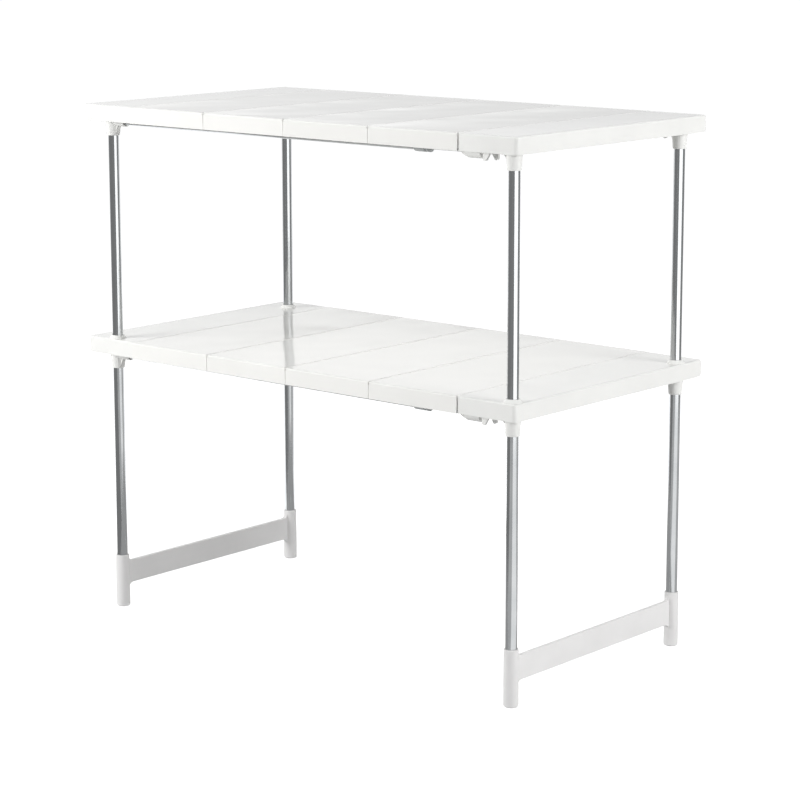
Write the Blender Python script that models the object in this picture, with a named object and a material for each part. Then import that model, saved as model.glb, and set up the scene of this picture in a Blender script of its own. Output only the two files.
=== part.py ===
"""Two-tier shelf organizer that widens on telescoping rods, with lift-out shelf panels.

Metres, +Z up, +X along the width, +Y to the back. The origin is on the floor, under the
middle of the rack, with the rack pushed together to its narrowest.
"""
import math

import bmesh
import bpy
from mathutils import Matrix, Vector

# Stance of the four posts
post_spacing_x = 0.470
post_spacing_y = 0.2316

# How far the end pieces reach past the posts
left_overhang = 0.031
right_overhang = 0.009
front_overhang = 0.0085
rear_overhang = 0.029

# Heights of the shelf surfaces above the floor
lower_shelf_height = 0.2585
upper_shelf_height = 0.476

# Clearances
fit_gap = 0.0003
slide_gap = 0.0003
seam_gap = 0.0005
sleeve_room = 0.0005
cut_overrun = 0.001
weld_distance = 0.000001

# Steel post tubes
post_radius = 0.0050
post_wall = 0.0008
tube_sides = 18
rod_sides = 14

# Foot frames: two feet and the bar that joins them
foot_height = 0.050
foot_wall = 0.0011
foot_flare = 0.0002
foot_edge_radius = 0.0018
foot_mouth_edge = 0.0004
foot_socket_floor = 0.020
foot_sides = 16
bar_height = 0.0216
bar_drop = 0.0074
bar_depth = 0.0040
bar_edge = 0.0006
bar_fillet_radius = 0.005

# Moulded shelf pieces: skin, rolled edges and the ribs under the skin
lip_height = 0.015
lip_wall = 0.0022
lip_foot_radius = 0.0016
skin = 0.0024
rib = 0.0018
rib_rise = 0.0015
top_edge_radius = 0.0015
seam_edge_chamfer = 0.0006
outer_corner_radius = 0.0035
arc_steps = 3
saddle_steps = 4
bay_steps = 2
lip_foot_steps = 2

# End pieces
left_end_width = 0.0606
right_end_width = 0.0606
left_column_count = 2
right_column_count = 2
end_row_count = 4

# Collars that hold the posts
collar_sides = 16
collar_length = 0.013
collar_wall = 0.0008
collar_swell = 0.0009
collar_edge = 0.0004
collar_rim_height = 0.003
collar_rim_spread = 0.0018
collar_web = 0.002
cap_socket_depth = 0.022
gusset_thickness = 0.0045
left_gusset_reach = 0.011
left_gusset_drop = 0.010
right_gusset_reach = 0.0056
right_gusset_drop = 0.0065

# Shelf panels
panel_count = 4
panel_proud = 0.0012
panel_row_count = 2
panel_seat_inset = 0.018

# Telescoping rods under the front and rear edges
rod_depth = 0.0131
rod_lip_room = 0.0016
outer_rod_radius = 0.0050
outer_rod_wall = 0.0010
inner_rod_wall = 0.0007
outer_rod_end_inset = 0.036
extension_travel = 0.240
rod_overlap = 0.060

# Sockets for the outer rods, moulded beside the left collars; the reach is from the post's axis
rod_socket_wall = 0.0011
rod_socket_reach = 0.018
rod_socket_depth = 0.010
rod_socket_edge = 0.0005

# Round housings for the inner rods, moulded into the right end pieces
housing_wall = 0.0038
housing_mouth_wall = 0.0016
housing_taper = 0.006
housing_length = 0.021

# Pairs of jaws that grip the far ends of the inner rods
jaw_start = 0.0238
jaw_width = 0.0072
jaw_tip_radius = 0.0020
jaw_thickness = 0.0024
jaw_drop = 0.0068
jaw_tip_sweep = math.radians(306)

# Sleeves that close the ends of the outer rods
sleeve_length = 0.0148
sleeve_wall = 0.0008
sleeve_lip = 0.0048
sleeve_groove_start = 0.0106
sleeve_groove_width = 0.0025
sleeve_groove_depth = 0.0012

# Radii that follow from what passes through
post_bore = post_radius + fit_gap
collar_mouth_radius = post_bore + collar_wall
collar_root_radius = collar_mouth_radius + collar_swell
foot_top_radius = post_bore + foot_wall
foot_base_radius = foot_top_radius + foot_flare
outer_rod_bore = outer_rod_radius - outer_rod_wall
inner_rod_radius = outer_rod_bore - slide_gap
rod_socket_bore = outer_rod_radius + fit_gap
rod_socket_radius = rod_socket_bore + rod_socket_wall
housing_bore = inner_rod_radius + fit_gap
housing_radius = housing_bore + housing_wall
housing_mouth_radius = housing_bore + housing_mouth_wall
sleeve_radius = rod_socket_bore + sleeve_wall
rod_inset = lip_wall - panel_proud + rod_lip_room + sleeve_radius

# Places that follow from the sizes above
total_width = left_overhang + post_spacing_x + right_overhang
shelf_depth = front_overhang + post_spacing_y + rear_overhang
left_face = -total_width / 2
right_face = total_width / 2
front_face = -shelf_depth / 2
rear_face = shelf_depth / 2
left_post_x = left_face + left_overhang
right_post_x = right_face - right_overhang
front_post_y = front_face + front_overhang
rear_post_y = rear_face - rear_overhang
left_seam = left_face + left_end_width
right_seam = right_face - right_end_width
panel_pitch = (right_seam - left_seam) / panel_count
front_rod_y = front_face + rod_inset
rear_rod_y = rear_face - rod_inset
outer_rod_end = right_seam - outer_rod_end_inset
inner_rod_start = outer_rod_end - extension_travel - rod_overlap

shelf_heights = {"lower": lower_shelf_height, "upper": upper_shelf_height}
rod_rows = {"front": front_rod_y, "rear": rear_rod_y}
post_rows = {"front": front_post_y, "rear": rear_post_y}
post_columns = {"left": left_post_x, "right": right_post_x}


def clear_scene():
    for item in list(bpy.data.objects):
        bpy.data.objects.remove(item, do_unlink=True)


def make_material(name, colour, roughness, metallic):
    material = bpy.data.materials.new(name)
    material.use_nodes = True
    shader = material.node_tree.nodes["Principled BSDF"]
    shader.inputs["Base Color"].default_value = (*colour, 1.0)
    shader.inputs["Roughness"].default_value = roughness
    shader.inputs["Metallic"].default_value = metallic
    return material


def white_plastic(name):
    return make_material(name, (0.84, 0.85, 0.83), 0.32, 0.0)


def foot_plastic(name):
    return make_material(name, (0.76, 0.77, 0.75), 0.42, 0.0)


def sleeve_plastic(name):
    return make_material(name, (0.62, 0.63, 0.63), 0.4, 0.0)


def polished_steel(name):
    return make_material(name, (0.70, 0.70, 0.71), 0.14, 1.0)


def new_object(name, form):
    """Turn a finished bmesh into an object in the scene."""
    bmesh.ops.recalc_face_normals(form, faces=form.faces)
    mesh = bpy.data.meshes.new(name)
    form.to_mesh(mesh)
    form.free()
    item = bpy.data.objects.new(name, mesh)
    bpy.context.scene.collection.objects.link(item)
    return item


def finish(item, material):
    """Give an object its material and smooth shading with crisp corners."""
    item.data.materials.clear()
    item.data.materials.append(material)
    item.data.shade_smooth()
    item.data.set_sharp_from_angle(angle=math.radians(35))
    return item


def combine(target, tool, operation):
    """Join a tool to the target, or cut it away, and keep the result as plain mesh."""
    modifier = target.modifiers.new("combine", "BOOLEAN")
    modifier.object = tool
    modifier.operation = operation
    modifier.solver = "EXACT"
    depsgraph = bpy.context.evaluated_depsgraph_get()
    result = bpy.data.meshes.new_from_object(target.evaluated_get(depsgraph))
    target.modifiers.clear()
    target.data = result
    bpy.data.objects.remove(tool, do_unlink=True)


def join(target, tool):
    combine(target, tool, "UNION")


def cut(target, tool):
    combine(target, tool, "DIFFERENCE")


def arc(centre, radius, start, end, steps):
    """Points on an arc from one angle to another, both ends included."""
    points = []
    for step in range(steps + 1):
        angle = start + (end - start) * step / steps
        points.append((centre[0] + radius * math.cos(angle), centre[1] + radius * math.sin(angle)))
    return points


def add_turned(form, profile, sides, axis="Z", centre=(0, 0, 0), phase=0):
    """Spin a closed outline of (radius, height) points about an axis, from a starting angle."""
    start = len(form.verts)
    along, across = math.cos(phase), math.sin(phase)
    verts = [form.verts.new((radius * along, radius * across, height)) for radius, height in profile]
    edges = [form.edges.new((verts[i - 1], verts[i])) for i in range(len(verts))]
    bmesh.ops.spin(form, geom=verts + edges, cent=(0, 0, 0), axis=(0, 0, 1),
                   angle=2 * math.pi, steps=sides, use_merge=True)
    form.verts.ensure_lookup_table()
    fresh = form.verts[start:]
    bmesh.ops.remove_doubles(form, verts=fresh, dist=weld_distance)
    form.verts.ensure_lookup_table()
    turn = Matrix.Rotation(math.pi / 2, 4, "Y") if axis == "X" else Matrix.Identity(4)
    bmesh.ops.transform(form, matrix=Matrix.Translation(centre) @ turn, verts=form.verts[start:])


def turned(name, profile, sides, axis="Z", centre=(0, 0, 0), phase=0):
    form = bmesh.new()
    add_turned(form, profile, sides, axis, centre, phase)
    return new_object(name, form)


def drill(target, radius, length, sides, axis, mouth):
    """Cut a round bore, its facets turned half a step against those of the boss around it."""
    profile = [(0, 0), (radius, 0), (radius, length), (0, length)]
    cut(target, turned("bore", profile, sides, axis, mouth, math.pi / sides))


def add_extruded(form, outline, low, high, axis):
    """Extrude a closed outline between two heights along X, Y or Z.

    The outline holds (y, z) points along X, (x, z) points along Y and (x, y) along Z.
    """
    place = {"X": lambda u, v: (low, u, v), "Y": lambda u, v: (u, low, v), "Z": lambda u, v: (u, v, low)}
    travel = {"X": (high - low, 0, 0), "Y": (0, high - low, 0), "Z": (0, 0, high - low)}
    face = form.faces.new([form.verts.new(place[axis](u, v)) for u, v in outline])
    grown = bmesh.ops.extrude_face_region(form, geom=[face], use_keep_orig=True)
    moved = [item for item in grown["geom"] if isinstance(item, bmesh.types.BMVert)]
    bmesh.ops.translate(form, verts=moved, vec=Vector(travel[axis]))


def extruded(name, outline, low, high, axis):
    form = bmesh.new()
    add_extruded(form, outline, low, high, axis)
    return new_object(name, form)


def add_box(form, x_range, y_range, z_range):
    outline = [(x_range[0], y_range[0]), (x_range[1], y_range[0]),
               (x_range[1], y_range[1]), (x_range[0], y_range[1])]
    add_extruded(form, outline, z_range[0], z_range[1], "Z")


def tube_profile(radius, wall, length):
    return [(radius, 0), (radius, length), (radius - wall, length), (radius - wall, 0)]


def cell_walls(low, high, edge_wall, count):
    """Split a span into open cells with a rib between each two neighbours."""
    inner = high - low - 2 * edge_wall
    cell = (inner - (count - 1) * rib) / count
    starts = [low + edge_wall + i * (cell + rib) for i in range(count)]
    return [(start, start + cell) for start in starts]


def saddle_outline(y, z, radius, floor, steps):
    """Open-bottomed slot over a rod: a half round whose flats keep the radius, on straight sides."""
    corner = radius / math.cos(math.pi / (2 * steps))
    points = arc((y, z), corner, 0, math.pi, steps)
    return points + [(y - corner, floor), (y + corner, floor)]


# Shelf panel


def panel_skin_outline(low, high, top):
    """Side outline of a panel, with its top edges and the foot of its rear lip rolled over."""
    bottom = top - lip_height
    foot = lip_foot_radius
    outline = [(low, bottom)] + arc((high - foot, bottom + foot), foot, -math.pi / 2, 0, lip_foot_steps)
    edge = top_edge_radius
    outline += arc((high - edge, top - edge), edge, 0, math.pi / 2, arc_steps)
    outline += arc((low + edge, top - edge), edge, math.pi / 2, math.pi, arc_steps)
    return outline


def panel_mesh():
    """One panel with its top at zero height and its left edge at zero: skin, lips and ribs."""
    width = panel_pitch - seam_gap
    front = front_face - panel_proud
    rear = rear_face + panel_proud
    panel = extruded("panel", panel_skin_outline(front, rear, 0), 0, width, "X")

    chamfer = bmesh.new()
    chamfer.from_mesh(panel.data)
    rim = [edge for edge in chamfer.edges
           if abs(edge.verts[0].co.x - edge.verts[1].co.x) < weld_distance
           and min(edge.verts[0].co.z, edge.verts[1].co.z) > -top_edge_radius - weld_distance]
    bmesh.ops.bevel(chamfer, geom=rim, offset=seam_edge_chamfer, segments=1, affect="EDGES",
                    offset_type="OFFSET", clamp_overlap=True)
    chamfer.to_mesh(panel.data)
    chamfer.free()

    # Ribs that cross the rods: the panel's two edges and a seat near either edge
    seats = (panel_seat_inset, width - panel_seat_inset)
    crossings = [rib / 2, seats[0], seats[1], width - rib / 2]
    columns = [(crossings[i] + rib / 2, crossings[i + 1] - rib / 2) for i in range(len(crossings) - 1)]
    left_bay, middle_bay, right_bay = columns
    split = [left_bay, (middle_bay[0], width / 2 - rib / 2), (width / 2 + rib / 2, middle_bay[1]), right_bay]
    rod_bay = panel_proud + rod_inset + sleeve_radius + sleeve_room
    rod_rows_inside = [(front + lip_wall, front + rod_bay), (rear - rod_bay, rear - lip_wall)]
    middle_rows = cell_walls(front + rod_bay, rear - rod_bay, rib, panel_row_count)
    cells = [(column, row) for column in columns for row in rod_rows_inside]
    cells += [(column, row) for column in split for row in middle_rows]
    pockets = bmesh.new()
    for column, row in cells:
        add_box(pockets, column, row, (-lip_height - cut_overrun, -skin))
    cut(panel, new_object("pockets", pockets))

    # The ribs stop short of the lips' lower edge and straddle the rods
    trims = bmesh.new()
    add_box(trims, (rib, width - rib), (front + lip_wall, rear - lip_wall),
            (-lip_height - cut_overrun, -lip_height + rib_rise))
    cut(panel, new_object("trims", trims))
    saddles = bmesh.new()
    for y in (front_rod_y, rear_rod_y):
        for place in crossings:
            seated = place in seats
            radius = outer_rod_radius + slide_gap if seated else sleeve_radius + sleeve_room
            steps = saddle_steps if seated else bay_steps
            outline = saddle_outline(y, -rod_depth, radius, -lip_height - cut_overrun, steps)
            add_extruded(saddles, outline, place - rib / 2 - cut_overrun, place + rib / 2 + cut_overrun, "X")
    cut(panel, new_object("saddles", saddles))
    mesh = panel.data
    bpy.data.objects.remove(panel, do_unlink=True)
    return mesh


def shelf_panels():
    mesh = panel_mesh()
    mesh.name = "shelf_panel"
    finished = False
    for tier, height in shelf_heights.items():
        for index in range(panel_count):
            panel = bpy.data.objects.new(f"{tier}_panel_{index + 1}", mesh)
            panel.location = (left_seam + index * panel_pitch + seam_gap / 2, 0, height)
            bpy.context.scene.collection.objects.link(panel)
            if not finished:
                finish(panel, white_plastic("panel_plastic"))
                finished = True


# End pieces


def end_slab(name, side, top):
    """Rounded block of an end piece, before it is hollowed from below."""
    seam = left_seam - seam_gap / 2 if side == "left" else right_seam + seam_gap / 2
    outer = left_face if side == "left" else right_face
    way = 1 if side == "left" else -1
    radius = outer_corner_radius
    outline = [(seam, front_face), (seam, rear_face)]
    outline += arc((outer + way * radius, rear_face - radius), radius,
                   math.pi / 2, math.pi / 2 + way * math.pi / 2, arc_steps)
    outline += arc((outer + way * radius, front_face + radius), radius,
                   math.pi / 2 + way * math.pi / 2, math.pi / 2 + way * math.pi, arc_steps)
    form = bmesh.new()
    add_extruded(form, outline, top - lip_height, top, "Z")
    rolled = [edge for edge in form.edges
              if min(edge.verts[0].co.z, edge.verts[1].co.z) > top - weld_distance
              and not all(abs(vert.co.x - seam) < weld_distance for vert in edge.verts)]
    bmesh.ops.bevel(form, geom=rolled, offset=top_edge_radius, segments=arc_steps, profile=0.5,
                    affect="EDGES", offset_type="OFFSET", clamp_overlap=True)
    rear_foot = [edge for edge in form.edges
                 if max(vert.co.z for vert in edge.verts) < top - lip_height + weld_distance
                 and min(vert.co.y for vert in edge.verts) > rear_face - radius - weld_distance]
    bmesh.ops.bevel(form, geom=rear_foot, offset=lip_foot_radius, segments=lip_foot_steps, profile=0.5,
                    affect="EDGES", offset_type="OFFSET", clamp_overlap=True)
    return new_object(name, form)


def hollow_slab(slab, side, top):
    """Open the underside of an end piece into cells between ribs."""
    if side == "left":
        columns = cell_walls(left_face, left_seam - seam_gap / 2, lip_wall, left_column_count)
    else:
        columns = cell_walls(right_seam + seam_gap / 2, right_face, lip_wall, right_column_count)
    rows = cell_walls(front_face, rear_face, lip_wall, end_row_count)
    pockets = bmesh.new()
    for column in columns:
        for row in rows:
            add_box(pockets, column, row, (top - lip_height - cut_overrun, top - skin))
    cut(slab, new_object("pockets", pockets))


def collar_profile(tier, top):
    """Outline of a post collar, from its axis out, wide at the shelf and slim at its mouth."""
    mouth = top - lip_height - collar_length
    root = top - lip_height
    outline = [(0, mouth), (collar_mouth_radius - collar_edge, mouth),
               (collar_mouth_radius, mouth + collar_edge), (collar_root_radius, root)]
    if tier == "lower":
        rim = top + collar_rim_height
        wide = collar_mouth_radius + collar_rim_spread
        outline += [(wide, top + collar_edge), (collar_mouth_radius, rim - collar_edge),
                    (collar_mouth_radius - collar_edge, rim), (0, rim)]
    else:
        outline += [(collar_root_radius, top - skin / 2), (0, top - skin / 2)]
    return outline


def add_gussets(slab, side, top):
    """Concave web from each collar towards the middle of the rack."""
    way = 1 if side == "left" else -1
    x = post_columns[side]
    drop = left_gusset_drop if side == "left" else right_gusset_drop
    reach = collar_root_radius + (left_gusset_reach if side == "left" else right_gusset_reach)
    low = top - lip_height - drop
    high = top - skin / 2
    for y in post_rows.values():
        outline = [(x, low), (x + way * collar_mouth_radius, low)]
        sweep = arc((0, 0), 1, math.pi, math.pi / 2, arc_steps)
        outline += [(x + way * (reach + u * (reach - collar_mouth_radius)), low + v * drop)
                    for u, v in sweep[1:]]
        outline += [(x + way * reach, high), (x, high)]
        half = gusset_thickness / 2
        join(slab, extruded("gusset", outline, y - half, y + half, "Y"))


def socket_profile(length):
    """Outline of a rod socket, with a sloped rim at its free end."""
    edge = rod_socket_edge
    outline = [(0, 0), (rod_socket_radius, 0), (rod_socket_radius, length - edge)]
    return outline + [(rod_socket_radius - edge, length), (0, length)]


def left_rod_sockets(slab, top):
    """Round sockets beside the collars, in line with the openings through the seam's rib."""
    for y in rod_rows.values():
        place = (left_post_x, y, top - rod_depth)
        join(slab, turned("socket", socket_profile(rod_socket_reach), rod_sides, "X", place))
    back = left_post_x + rod_socket_reach - rod_socket_depth
    for y in rod_rows.values():
        through = left_seam + cut_overrun - back
        drill(slab, rod_socket_bore, through, rod_sides, "X", (back, y, top - rod_depth))


def housing_profile():
    """Outline of the round housing of an inner rod, which widens from its mouth."""
    return [(0, 0), (housing_mouth_radius, 0), (housing_radius, housing_taper),
            (housing_radius, housing_length), (0, housing_length)]


def jaw_outline(start, way, top):
    """Front outline of a jaw: upright on one side, and narrowing on the other to a rounded tip."""
    end = start + way * jaw_width
    foot = top - lip_height
    tip = jaw_tip_radius
    centre = (start + way * tip, foot - jaw_drop + tip)
    outline = [(start, top - skin / 2)]
    outline += [(centre[0] + way * u, centre[1] + v)
                for u, v in arc((0, 0), tip, math.pi, jaw_tip_sweep, arc_steps)]
    return outline + [(end, foot), (end, top - skin / 2)]


def right_rod_housings(slab, top):
    """Round housings for the inner rods, and the pairs of jaws that grip the rods behind them."""
    seam = right_seam + seam_gap / 2
    stand_off = inner_rod_radius + slide_gap + jaw_thickness / 2
    for y in rod_rows.values():
        join(slab, turned("housing", housing_profile(), collar_sides, "X", (seam, y, top - rod_depth)))
        for lean, place in ((1, y - stand_off), (-1, y + stand_off)):
            start = seam + jaw_start + (0 if lean > 0 else jaw_width)
            outline = jaw_outline(start, lean, top)
            join(slab, extruded("jaw", outline, place - jaw_thickness / 2, place + jaw_thickness / 2, "Y"))
    for y in rod_rows.values():
        through = housing_length + 2 * cut_overrun
        drill(slab, housing_bore, through, rod_sides, "X", (seam - cut_overrun, y, top - rod_depth))


def post_sockets(tier, top):
    """Heights that bound the post sockets of a tier: (bottom, lower roof, upper floor, top)."""
    mouth = top - lip_height - collar_length
    if tier == "upper":
        return mouth, mouth + cap_socket_depth, None, None
    rim = top + collar_rim_height
    middle = (mouth + rim) / 2
    return mouth, middle - collar_web / 2, middle + collar_web / 2, rim


def end_piece(tier, side):
    top = shelf_heights[tier]
    slab = end_slab(f"{tier}_{side}_end_piece", side, top)
    hollow_slab(slab, side, top)
    x = post_columns[side]
    add_gussets(slab, side, top)
    for y in post_rows.values():
        join(slab, turned("collar", collar_profile(tier, top), collar_sides, "Z", (x, y, 0)))
    if side == "left":
        left_rod_sockets(slab, top)
    else:
        right_rod_housings(slab, top)
    mouth, roof, floor, rim = post_sockets(tier, top)
    for y in post_rows.values():
        drill(slab, post_bore, roof - mouth + cut_overrun, tube_sides, "Z", (x, y, mouth - cut_overrun))
        if floor is not None:
            drill(slab, post_bore, rim - floor + cut_overrun, tube_sides, "Z", (x, y, floor))
    finish(slab, white_plastic(f"{tier}_{side}_end_plastic"))


# Posts, feet and rods


def post(tier, side, row):
    if tier == "lower":
        low = foot_socket_floor + fit_gap
        high = post_sockets("lower", lower_shelf_height)[1] - fit_gap
    else:
        low = post_sockets("lower", lower_shelf_height)[2] + fit_gap
        high = post_sockets("upper", upper_shelf_height)[1] - fit_gap
    tube = turned(f"{tier}_post_{row}_{side}", tube_profile(post_radius, post_wall, high - low), tube_sides)
    tube.location = (post_columns[side], post_rows[row], low)
    finish(tube, polished_steel(f"{tier}_post_{row}_{side}_steel"))


def foot_profile():
    """Outline of one foot: rounded at the floor, slightly tapered, with an eased edge at its mouth."""
    base = foot_base_radius
    edge = foot_edge_radius
    outline = [(0, 0), (base - edge, 0)]
    outline += arc((base - edge, edge), edge, -math.pi / 2, 0, arc_steps)[1:]
    outline += [(foot_top_radius, foot_height - foot_mouth_edge),
                (foot_top_radius - foot_mouth_edge, foot_height)]
    return outline + [(0, foot_height)]


def bar_outline():
    """Side outline of the bar between the feet, with a fillet into each foot above and below."""
    top = foot_height - bar_drop
    low = top - bar_height
    radius = bar_fillet_radius
    near = front_post_y + foot_top_radius - fit_gap
    far = rear_post_y - foot_top_radius + fit_gap
    rise = min(radius, bar_drop - foot_mouth_edge)
    head = top + rise
    outline = [(front_post_y, head), (front_post_y, low - radius), (near, low - radius)]
    outline += arc((near + radius, low - radius), radius, math.pi, math.pi / 2, arc_steps)[1:]
    outline += arc((far - radius, low - radius), radius, math.pi / 2, 0, arc_steps)
    outline += [(rear_post_y, low - radius), (rear_post_y, head)]
    outline += arc((far - rise, head), rise, 0, -math.pi / 2, arc_steps)
    outline += arc((near + rise, head), rise, -math.pi / 2, -math.pi, arc_steps)
    return outline


def foot_frame(side):
    """Two feet and the flat bar between them, with eased edges along the bar."""
    x = post_columns[side]
    half = bar_depth / 2
    form = bmesh.new()
    add_extruded(form, bar_outline(), x - half, x + half, "X")
    eased = [edge for edge in form.edges
             if abs(edge.verts[0].co.x - edge.verts[1].co.x) < weld_distance
             and edge.calc_length() > foot_base_radius]
    bmesh.ops.bevel(form, geom=eased, offset=bar_edge, segments=1, affect="EDGES",
                    offset_type="OFFSET", clamp_overlap=True)
    frame = new_object(f"foot_frame_{side}", form)
    for y in post_rows.values():
        join(frame, turned("foot", foot_profile(), foot_sides, "Z", (x, y, 0)))
    for y in post_rows.values():
        depth = foot_height - foot_socket_floor
        drill(frame, post_bore, depth + cut_overrun, tube_sides, "Z", (x, y, foot_socket_floor))
    finish(frame, foot_plastic(f"foot_{side}_plastic"))


def outer_rod(tier, row):
    start = left_post_x + rod_socket_reach - rod_socket_depth + fit_gap
    length = outer_rod_end - sleeve_lip - fit_gap - start
    name = f"{tier}_{row}_outer_rod"
    rod = turned(name, tube_profile(outer_rod_radius, outer_rod_wall, length), rod_sides, "X")
    rod.location = (start, rod_rows[row], shelf_heights[tier] - rod_depth)
    finish(rod, polished_steel(f"{name}_steel"))


def inner_rod(tier, row):
    end = right_seam + seam_gap / 2 + jaw_start + jaw_width / 2
    name = f"{tier}_{row}_inner_rod"
    profile = tube_profile(inner_rod_radius, inner_rod_wall, end - inner_rod_start)
    rod = turned(name, profile, rod_sides, "X")
    rod.location = (inner_rod_start, rod_rows[row], shelf_heights[tier] - rod_depth)
    finish(rod, polished_steel(f"{name}_steel"))


def sleeve_profile():
    """Outline of the sleeve: a bore over the outer rod, a lip down to the inner rod, a groove."""
    wide = rod_socket_bore
    narrow = inner_rod_radius + slide_gap
    groove_low = sleeve_groove_start
    groove_high = groove_low + sleeve_groove_width
    root = sleeve_radius - sleeve_groove_depth
    return [(wide, 0), (sleeve_radius, 0), (sleeve_radius, groove_low), (root, groove_low),
            (root, groove_high), (sleeve_radius, groove_high), (sleeve_radius, sleeve_length),
            (narrow, sleeve_length), (narrow, sleeve_length - sleeve_lip), (wide, sleeve_length - sleeve_lip)]


def rod_sleeve(tier, row):
    name = f"{tier}_{row}_rod_sleeve"
    sleeve = turned(name, sleeve_profile(), rod_sides, "X")
    sleeve.location = (outer_rod_end - sleeve_length, rod_rows[row], shelf_heights[tier] - rod_depth)
    finish(sleeve, sleeve_plastic(f"{name}_plastic"))


def build():
    clear_scene()
    for side in post_columns:
        foot_frame(side)
        for tier in shelf_heights:
            end_piece(tier, side)
            for row in post_rows:
                post(tier, side, row)
    for tier in shelf_heights:
        for row in rod_rows:
            outer_rod(tier, row)
            inner_rod(tier, row)
            rod_sleeve(tier, row)
    shelf_panels()


build()
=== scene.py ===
import math

import bpy
from mathutils import Matrix, Vector

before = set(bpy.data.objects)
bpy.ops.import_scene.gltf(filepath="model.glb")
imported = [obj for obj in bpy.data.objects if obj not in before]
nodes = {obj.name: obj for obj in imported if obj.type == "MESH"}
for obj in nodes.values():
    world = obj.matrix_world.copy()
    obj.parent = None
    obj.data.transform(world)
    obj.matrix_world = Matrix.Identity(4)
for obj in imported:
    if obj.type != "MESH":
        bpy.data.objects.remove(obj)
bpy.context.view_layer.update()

print("frame loaded:", len(nodes), "nodes")

mm = 0.001
white = (1.0, 1.0, 1.0, 1.0)
mixFirst, mixSecond, mixResult = 6, 7, 2  # the sockets that hold a mix node's colours


# Colours are written as sRGB hex values, the way they read on the real rack
def toLinear(hexColour):
    parts = [int(hexColour[i:i + 2], 16) / 255 for i in (1, 3, 5)]
    return tuple(c / 12.92 if c <= 0.04045 else ((c + 0.055) / 1.055) ** 2.4 for c in parts) + (1.0,)


# Adds one shader node, sets its properties and unlinked sockets, and wires the rest
def addNode(tree, kind, settings=None, links=None):
    node = tree.nodes.new(kind)
    for key, value in (settings or {}).items():
        if isinstance(key, str) and hasattr(node, key):
            setattr(node, key, value)
        else:
            node.inputs[key].default_value = value
    for key, source in (links or {}).items():
        tree.links.new(source, node.inputs[key])
    return node


def newTree(name):
    material = bpy.data.materials.new(name)
    material.use_nodes = True
    tree = material.node_tree
    tree.nodes.clear()
    return material, tree


# Moulded plastic: colour and gloss drift a little over a piece, the skin has the slow waves of
# a thin moulding, and over them lies the fine orange peel of the mould's polish.
# A roughness range stays on one side of 0.27, where the denoiser would draw a contour.
mouldedSettings = {
    # polypropylene from a polished mould: white, with soft mirror images of the posts and the room
    "panel": {
        "name": "polypropyleneMouldedGloss", "colour": "#F6F5F2", "shadeColour": "#EEEEEA",
        "roughnessLow": 0.06, "roughnessHigh": 0.13, "ior": 1.49, "driftSize": 70 * mm,
        "waveSize": 70 * mm, "waveDepth": 0.6 * mm, "peelSize": 3.5 * mm, "peelDepth": 0.01 * mm,
        "camberWidth": 97.2 * mm, "camberDepth": 1.2 * mm,
    },
    # the same plastic over stiff ribs: flatter, so its reflections wander less
    "end": {
        "name": "polypropyleneMouldedEnds", "colour": "#F5F5F2", "shadeColour": "#EBEBE8",
        "roughnessLow": 0.08, "roughnessHigh": 0.15, "ior": 1.49, "driftSize": 40 * mm,
        "waveSize": 60 * mm, "waveDepth": 0.1 * mm, "peelSize": 3.0 * mm, "peelDepth": 0.01 * mm,
    },
    # ABS from a lightly etched mould: satin, with a broad sheen and no mirror images
    "foot": {
        "name": "absMouldedSatin", "colour": "#F0EFEE", "shadeColour": "#E5E4E3",
        "roughnessLow": 0.34, "roughnessHigh": 0.48, "ior": 1.50, "driftSize": 30 * mm,
        "waveSize": 50 * mm, "waveDepth": 0.06 * mm, "peelSize": 1.6 * mm, "peelDepth": 0.012 * mm,
    },
    # light grey nylon: a waxy half gloss that sets the sleeves off from the white pieces
    "sleeve": {
        "name": "nylonMouldedGrey", "colour": "#C9CCCB", "shadeColour": "#AEB2B2",
        "roughnessLow": 0.36, "roughnessHigh": 0.50, "ior": 1.53, "driftSize": 12 * mm,
        "waveSize": 20 * mm, "waveDepth": 0.02 * mm, "peelSize": 1.2 * mm, "peelDepth": 0.012 * mm,
    },
}
plasticDetail = {"drift": 3.0, "wave": 1.0, "peel": 2.0}


# A shrunken panel stands hollow between its seams: a shallow trough across each panel's width
def camberNormal(tree, place, settings):
    parts = addNode(tree, "ShaderNodeSeparateXYZ", None, {"Vector": place})
    widths = addNode(tree, "ShaderNodeMath", {"operation": "MULTIPLY", 1: 1 / settings["camberWidth"]},
                     {0: parts.outputs["X"]})
    within = addNode(tree, "ShaderNodeMath", {"operation": "FRACT"}, {0: widths.outputs[0]})
    offMiddle = addNode(tree, "ShaderNodeMath", {"operation": "SUBTRACT", 1: 0.5},
                        {0: within.outputs[0]})
    trough = addNode(tree, "ShaderNodeMath", {"operation": "MULTIPLY"},
                     {0: offMiddle.outputs[0], 1: offMiddle.outputs[0]})
    bump = addNode(tree, "ShaderNodeBump", {"Distance": settings["camberDepth"], "Strength": 1.0},
                   {"Height": trough.outputs[0]})
    return bump.outputs["Normal"]


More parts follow.
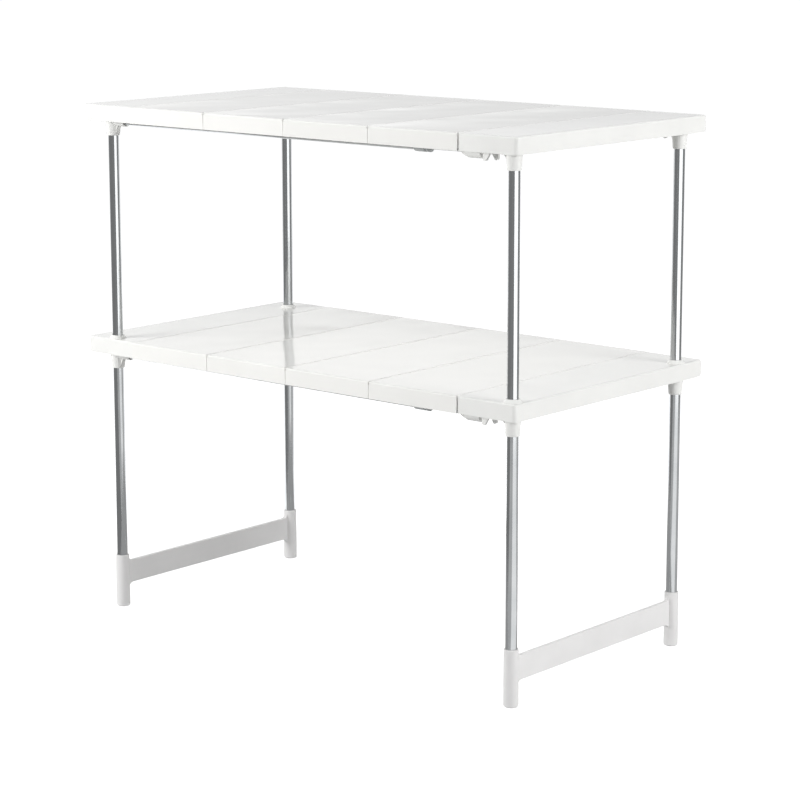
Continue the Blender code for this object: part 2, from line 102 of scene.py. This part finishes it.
def mouldedPlastic(settings):
    material, tree = newTree(settings["name"])
    place = addNode(tree, "ShaderNodeTexCoord").outputs["Object"]
    drift = addNode(tree, "ShaderNodeTexNoise",
                    {"Scale": 1 / settings["driftSize"], "Detail": plasticDetail["drift"]},
                    {"Vector": place})
    colour = addNode(tree, "ShaderNodeMix",
                     {"data_type": "RGBA", mixFirst: toLinear(settings["colour"]),
                      mixSecond: toLinear(settings["shadeColour"])},
                     {"Factor": drift.outputs["Fac"]})
    gloss = addNode(tree, "ShaderNodeMapRange",
                    {"To Min": settings["roughnessLow"], "To Max": settings["roughnessHigh"]},
                    {"Value": drift.outputs["Fac"]})
    wave = addNode(tree, "ShaderNodeTexNoise",
                   {"Scale": 1 / settings["waveSize"], "Detail": plasticDetail["wave"]},
                   {"Vector": place})
    waveLinks = {"Height": wave.outputs["Fac"]}
    if "camberDepth" in settings:
        waveLinks["Normal"] = camberNormal(tree, place, settings)
    waveBump = addNode(tree, "ShaderNodeBump", {"Distance": settings["waveDepth"], "Strength": 1.0},
                       waveLinks)
    peel = addNode(tree, "ShaderNodeTexNoise",
                   {"Scale": 1 / settings["peelSize"], "Detail": plasticDetail["peel"]},
                   {"Vector": place})
    peelBump = addNode(tree, "ShaderNodeBump", {"Distance": settings["peelDepth"], "Strength": 1.0},
                       {"Height": peel.outputs["Fac"], "Normal": waveBump.outputs["Normal"]})
    skin = addNode(tree, "ShaderNodeBsdfPrincipled", {"IOR": settings["ior"]},
                   {"Base Color": colour.outputs[mixResult], "Roughness": gloss.outputs["Result"],
                    "Normal": peelBump.outputs["Normal"]})
    addNode(tree, "ShaderNodeOutputMaterial", None, {"Surface": skin.outputs["BSDF"]})
    return material


# Drawn steel tube: fine polishing lines run along it, and its gloss has faint cloudy patches.
# The real lines are finer than the picture can show, so they are drawn 0.6 mm wide.
steelSettings = {
    # chrome plate: a cold, hard mirror that shows the room as upright dark and bright bands
    "post": {
        "name": "steelTubeChromePlated", "colour": "#D9DBDC", "stainColour": "#C3C6C8",
        "roughnessLow": 0.06, "roughnessHigh": 0.16, "cloudSize": 25 * mm,
        "lineWidth": 0.6 * mm, "lineLength": 150 * mm, "lineDepth": 0.004 * mm, "axis": "z",
    },
    # plain polished steel: a little duller and darker, with the bands smeared along the rod
    "rod": {
        "name": "steelRodPolished", "colour": "#D2D4D5", "stainColour": "#B9BCBE",
        "roughnessLow": 0.10, "roughnessHigh": 0.22, "cloudSize": 25 * mm,
        "lineWidth": 0.6 * mm, "lineLength": 150 * mm, "lineDepth": 0.006 * mm, "axis": "x",
    },
}
steelDetail = {"lines": 2.0, "cloud": 3.0}


def drawnSteel(settings):
    material, tree = newTree(settings["name"])
    place = addNode(tree, "ShaderNodeTexCoord").outputs["Object"]
    stretch = Vector((1.0, 1.0, 1.0))
    setattr(stretch, settings["axis"], settings["lineWidth"] / settings["lineLength"])
    mapped = addNode(tree, "ShaderNodeMapping", {"Scale": stretch}, {"Vector": place})
    lines = addNode(tree, "ShaderNodeTexNoise",
                    {"Scale": 1 / settings["lineWidth"], "Detail": steelDetail["lines"]},
                    {"Vector": mapped.outputs["Vector"]})
    cloud = addNode(tree, "ShaderNodeTexNoise",
                    {"Scale": 1 / settings["cloudSize"], "Detail": steelDetail["cloud"]},
                    {"Vector": place})
    colour = addNode(tree, "ShaderNodeMix",
                     {"data_type": "RGBA", mixFirst: toLinear(settings["colour"]),
                      mixSecond: toLinear(settings["stainColour"])},
                     {"Factor": cloud.outputs["Fac"]})
    gloss = addNode(tree, "ShaderNodeMapRange",
                    {"To Min": settings["roughnessLow"], "To Max": settings["roughnessHigh"]},
                    {"Value": cloud.outputs["Fac"]})
    bump = addNode(tree, "ShaderNodeBump", {"Distance": settings["lineDepth"], "Strength": 1.0},
                   {"Height": lines.outputs["Fac"]})
    skin = addNode(tree, "ShaderNodeBsdfPrincipled", {"Metallic": 1.0},
                   {"Base Color": colour.outputs[mixResult], "Roughness": gloss.outputs["Result"],
                    "Normal": bump.outputs["Normal"]})
    addNode(tree, "ShaderNodeOutputMaterial", None, {"Surface": skin.outputs["BSDF"]})
    return material


# The first word that a node's name holds gives it its material
materialByWord = {
    "panel": mouldedPlastic(mouldedSettings["panel"]),
    "end_piece": mouldedPlastic(mouldedSettings["end"]),
    "foot_frame": mouldedPlastic(mouldedSettings["foot"]),
    "rod_sleeve": mouldedPlastic(mouldedSettings["sleeve"]),
    "_post_": drawnSteel(steelSettings["post"]),
    "_rod": drawnSteel(steelSettings["rod"]),
}
for name, item in nodes.items():
    word = next(word for word in materialByWord if word in name)
    item.data.materials.clear()
    item.data.materials.append(materialByWord[word])
print("materials given")

# The CAD comes faceted. Welding its split corners and smoothing every edge that folds less than
# the sharp angle makes tubes, collars and rolled edges read as round, and keeps real corners crisp.
smoothSettings = {"weld": 0.01 * mm, "sharpAngle": math.radians(36), "flatAngle": 0.01}


def smoothTree():
    tree = bpy.data.node_groups.new("weldAndSmooth", "GeometryNodeTree")
    tree.is_modifier = True
    for side in ("INPUT", "OUTPUT"):
        tree.interface.new_socket(name="Geometry", in_out=side, socket_type="NodeSocketGeometry")
    start = addNode(tree, "NodeGroupInput")
    welded = addNode(tree, "GeometryNodeMergeByDistance", {"Distance": smoothSettings["weld"]},
                     {"Geometry": start.outputs[0]})
    bare = addNode(tree, "GeometryNodeRemoveAttribute", {"Name": "custom_normal"},
                   {"Geometry": welded.outputs[0]})
    smooth = addNode(tree, "GeometryNodeSetShadeSmooth", {"domain": "FACE"},
                     {"Geometry": bare.outputs[0]})
    fold = addNode(tree, "GeometryNodeInputMeshEdgeAngle")
    sharp = addNode(tree, "FunctionNodeCompare",
                    {"operation": "GREATER_THAN", 1: smoothSettings["sharpAngle"]},
                    {0: fold.outputs[0]})
    crisp = addNode(tree, "GeometryNodeSetShadeSmooth", {"domain": "EDGE", "Shade Smooth": False},
                    {"Geometry": smooth.outputs[0], "Selection": sharp.outputs[0]})
    addNode(tree, "NodeGroupOutput", None, {0: crisp.outputs[0]})
    return tree


smoothing = smoothTree()
for item in nodes.values():
    item.modifiers.new("weldAndSmooth", "NODES").node_group = smoothing
    flats = item.modifiers.new("joinFlats", "DECIMATE")  # one face for each flat, shaded evenly
    flats.decimate_type = "DISSOLVE"
    flats.angle_limit = smoothSettings["flatAngle"]
    flats.delimit = {"SHARP"}
    normals = item.modifiers.new("weighNormals", "WEIGHTED_NORMAL")
    normals.mode = "FACE_AREA_WITH_ANGLE"
    normals.keep_sharp = True
print("round forms smoothed")

# Studio: a pale floor that keeps a soft shadow, under a sky of even ambient light. Camera, glossy
# and transmission rays see both as white, and the light on the rack stays plain.
floorSettings = {"halfSize": 30.0, "drop": 0.4 * mm, "colour": "#CCCCCC", "shownGlow": 0.86}
skySettings = {"ambient": 0.28, "ambientColour": "#FBFCFF"}


def backgroundRays(tree):
    rays = addNode(tree, "ShaderNodeLightPath")
    seen = addNode(tree, "ShaderNodeMath", {"operation": "MAXIMUM"},
                   {0: rays.outputs["Is Camera Ray"], 1: rays.outputs["Is Glossy Ray"]})
    every = addNode(tree, "ShaderNodeMath", {"operation": "MAXIMUM"},
                    {0: seen.outputs[0], 1: rays.outputs["Is Transmission Ray"]})
    return every.outputs[0]


def addStagePiece(name, points, faces, material):
    mesh = bpy.data.meshes.new(name)
    mesh.from_pydata(points, [], faces)
    mesh.materials.append(material)
    piece = bpy.data.objects.new(name, mesh)
    bpy.context.scene.collection.objects.link(piece)
    return piece


floorPaper, tree = newTree("studioPaper")
paper = addNode(tree, "ShaderNodeBsdfDiffuse", {"Color": toLinear(floorSettings["colour"])})
share = addNode(tree, "ShaderNodeMath", {"operation": "MULTIPLY", 1: floorSettings["shownGlow"]},
                {0: backgroundRays(tree)})
glow = addNode(tree, "ShaderNodeEmission", {"Color": white}, {"Strength": share.outputs[0]})
both = addNode(tree, "ShaderNodeAddShader", None, {0: paper.outputs[0], 1: glow.outputs[0]})
addNode(tree, "ShaderNodeOutputMaterial", None, {"Surface": both.outputs[0]})
half, low = floorSettings["halfSize"], -floorSettings["drop"]
corners = [(-half, -half, low), (half, -half, low), (half, half, low), (-half, half, low)]
addStagePiece("studioFloor", corners, [(0, 1, 2, 3)], floorPaper)

world = bpy.data.worlds.new("studioSky")
bpy.context.scene.world = world
world.use_nodes = True
tree = world.node_tree
tree.nodes.clear()
dimSky = addNode(tree, "ShaderNodeBackground",
                 {"Color": toLinear(skySettings["ambientColour"]), "Strength": skySettings["ambient"]})
whiteSky = addNode(tree, "ShaderNodeBackground", {"Color": white, "Strength": 1.0})
both = addNode(tree, "ShaderNodeMixShader", None,
               {0: backgroundRays(tree), 1: dimSky.outputs[0], 2: whiteSky.outputs[0]})
addNode(tree, "ShaderNodeOutputWorld", None, {"Surface": both.outputs[0]})
print("floor and sky laid")

# Grey cards stand round the rack, as in any studio that shoots chrome: only reflections see them.
# Each span is in degrees from the photograph's viewing side, which faces along "facing", and turns
# to the right. The back cards stand across the far side: tops mirror them as plain grey.
cardSettings = {
    "radius": 1.35, "wallHeight": 0.55, "floorInner": 0.36, "lift": 2 * mm, "steps": 24,
    "facing": -49.1,
    "cards": {
        "farLeftCard": {"span": (-118, -36), "wallGlow": 0.25, "floorGlow": 0.24},
        "frontLeftCard": {"span": (-36, 9), "wallGlow": 0.27, "floorGlow": 0.54},
        "frontRightCard": {"span": (9, 67), "wallGlow": 1.75, "floorGlow": 1.08},
        "rightBackCard": {"span": (67, 126), "wallGlow": 0.30, "floorGlow": 0.54},
    },
    "underCard": {"span": (0, 360), "inner": 0.01, "glow": 0.42},
    "backCards": {
        "lowBackCard": {"distance": 4.5, "width": 5.2, "heights": (0.0, 0.94), "glow": (1.06, 0.62)},
        "highBackCard": {"distance": 4.5, "width": 5.2, "heights": (0.94, 2.4), "glow": (1.50, 1.02)},
    },
}


# Glowing paper; given two strengths it fades from the left end of the card to the right
def cardPaper(name, strength):
    material, tree = newTree(name)
    glow = addNode(tree, "ShaderNodeEmission", {"Color": white})
    if isinstance(strength, tuple):
        along = addNode(tree, "ShaderNodeSeparateXYZ", None,
                        {"Vector": addNode(tree, "ShaderNodeTexCoord").outputs["Generated"]})
        fade = addNode(tree, "ShaderNodeMapRange", {"To Min": strength[0], "To Max": strength[1]},
                       {"Value": along.outputs["X"]})
        tree.links.new(fade.outputs["Result"], glow.inputs["Strength"])
    else:
        glow.inputs["Strength"].default_value = strength
    addNode(tree, "ShaderNodeOutputMaterial", None, {"Surface": glow.outputs[0]})
    return material


def onlyReflected(piece):
    piece.visible_camera = False
    piece.visible_diffuse = False
    piece.visible_transmission = False
    piece.visible_shadow = False
    piece.visible_volume_scatter = False


# A strip that turns round the rack between two rims, each given as a radius and a height
def ringStrip(name, span, lowRim, highRim, strength):
    points, faces = [], []
    steps = cardSettings["steps"]
    for i in range(steps + 1):
        turn = math.radians(cardSettings["facing"] + span[0] + (span[1] - span[0]) * i / steps)
        for radius, height in (lowRim, highRim):
            points.append((radius * math.cos(turn), radius * math.sin(turn), height))
        if i:
            faces.append((2 * i - 2, 2 * i, 2 * i + 1, 2 * i - 1))
    onlyReflected(addStagePiece(name, points, faces, cardPaper(name, strength)))


inner, outer, lift = (cardSettings[key] for key in ("floorInner", "radius", "lift"))
for name, card in cardSettings["cards"].items():
    ringStrip(name, card["span"], (outer, lift), (outer, cardSettings["wallHeight"]), card["wallGlow"])
    ringStrip(name + "Floor", card["span"], (inner, lift), (outer, lift), card["floorGlow"])
under = cardSettings["underCard"]
ringStrip("underCard", under["span"], (under["inner"], lift), (inner, lift), under["glow"])
facing = math.radians(cardSettings["facing"])
behind = Vector((-math.cos(facing), -math.sin(facing), 0))
across = Vector((-math.sin(facing), math.cos(facing), 0))
for name, card in cardSettings["backCards"].items():
    foot, reach = behind * card["distance"], across * card["width"] / 2
    low, high = (Vector((0, 0, height)) for height in card["heights"])
    corners = [foot - reach + low, foot + reach + low, foot + reach + high, foot - reach + high]
    onlyReflected(addStagePiece(name, corners, [(0, 1, 2, 3)], cardPaper(name, card["glow"])))

# Three soft lamps light the rack. Reflections don't see them, so no glossy top turns white
# from any side, and what the plastic and the steel mirror is left to the cards.
lampSettings = {
    "keyLeft": {"place": (-0.95, -1.5, 1.0), "aim": (0, 0, 0.28), "size": (1.0, 1.0), "power": 30.5},
    "sideRight": {"place": (2.2, 0.2, 1.25), "aim": (0, 0, 0.28), "size": (1.0, 1.0), "power": 25.0},
    "sideLow": {"place": (2.2, 0.4, 0.3), "aim": (0, 0, 0.15), "size": (1.0, 0.8), "power": 11.0},
}
for name, lamp in lampSettings.items():
    light = bpy.data.lights.new(name, "AREA")
    light.shape = "RECTANGLE"
    light.size, light.size_y = lamp["size"]
    light.energy = lamp["power"]
    item = bpy.data.objects.new(name, light)
    item.location = lamp["place"]
    beam = Vector(lamp["aim"]) - Vector(lamp["place"])
    item.rotation_euler = beam.to_track_quat("-Z", "Y").to_euler()
    item.visible_glossy = False
    bpy.context.scene.collection.objects.link(item)
print("studio lit")

# Camera, fitted to the photograph's own perspective. Its shift is kept small, because the
# other views keep it too.
cameraSettings = {
    "place": (1.49672, -1.71309, 0.66589), "yaw": 0.71293, "pitch": 0.17918, "roll": -0.00136,
    "sensor": 36, "lens": 113.706, "shiftY": -0.06014,
}
yaw, pitch, roll = (cameraSettings[key] for key in ("yaw", "pitch", "roll"))
ahead = Vector((-math.sin(yaw) * math.cos(pitch), math.cos(yaw) * math.cos(pitch), -math.sin(pitch)))
right = Vector((math.cos(yaw), math.sin(yaw), 0))
above = right.cross(ahead)
tiltedRight = right * math.cos(roll) + above * math.sin(roll)
tiltedAbove = above * math.cos(roll) - right * math.sin(roll)
turn = Matrix((tiltedRight, tiltedAbove, -ahead)).transposed().to_4x4()
camera = bpy.data.cameras.new("photoCamera")
camera.sensor_width = cameraSettings["sensor"]
camera.lens = cameraSettings["lens"]
camera.shift_y = cameraSettings["shiftY"]
view = bpy.data.objects.new("photoCamera", camera)
view.matrix_world = Matrix.Translation(cameraSettings["place"]) @ turn
bpy.context.scene.collection.objects.link(view)
bpy.context.scene.camera = view
bpy.context.scene.view_settings.view_transform = "Standard"
print("camera set")
